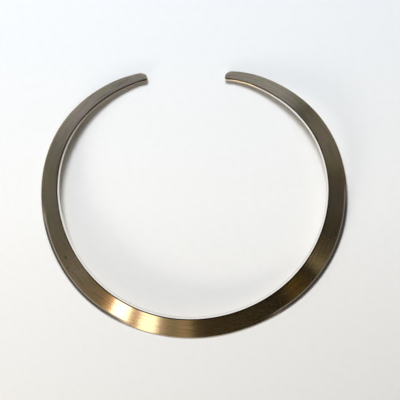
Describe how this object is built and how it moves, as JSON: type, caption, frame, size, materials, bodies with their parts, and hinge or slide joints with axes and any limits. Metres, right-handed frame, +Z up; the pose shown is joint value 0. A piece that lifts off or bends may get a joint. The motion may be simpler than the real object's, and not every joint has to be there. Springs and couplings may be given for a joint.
{
  "type": "bronze torc",
  "caption": "Open neck ring of one plain bronze strip, broad in front and tapering to two rounded tips, leaning like the wall of a shallow cone.",
  "frame": {"origin": "on the ground under the middle of the ring's outer size, as it lies", "axes": "+Z up out of the ring, +Y from the broad front to the mouth between the tips, +X across the ring's greatest width"},
  "size_m": [0.1444, 0.1272, 0.0087],
  "materials": {
    "bronze": "satin"
  },
  "bodies": {
    "root": {"torc": "bronze"}
  },
  "joints": []
}
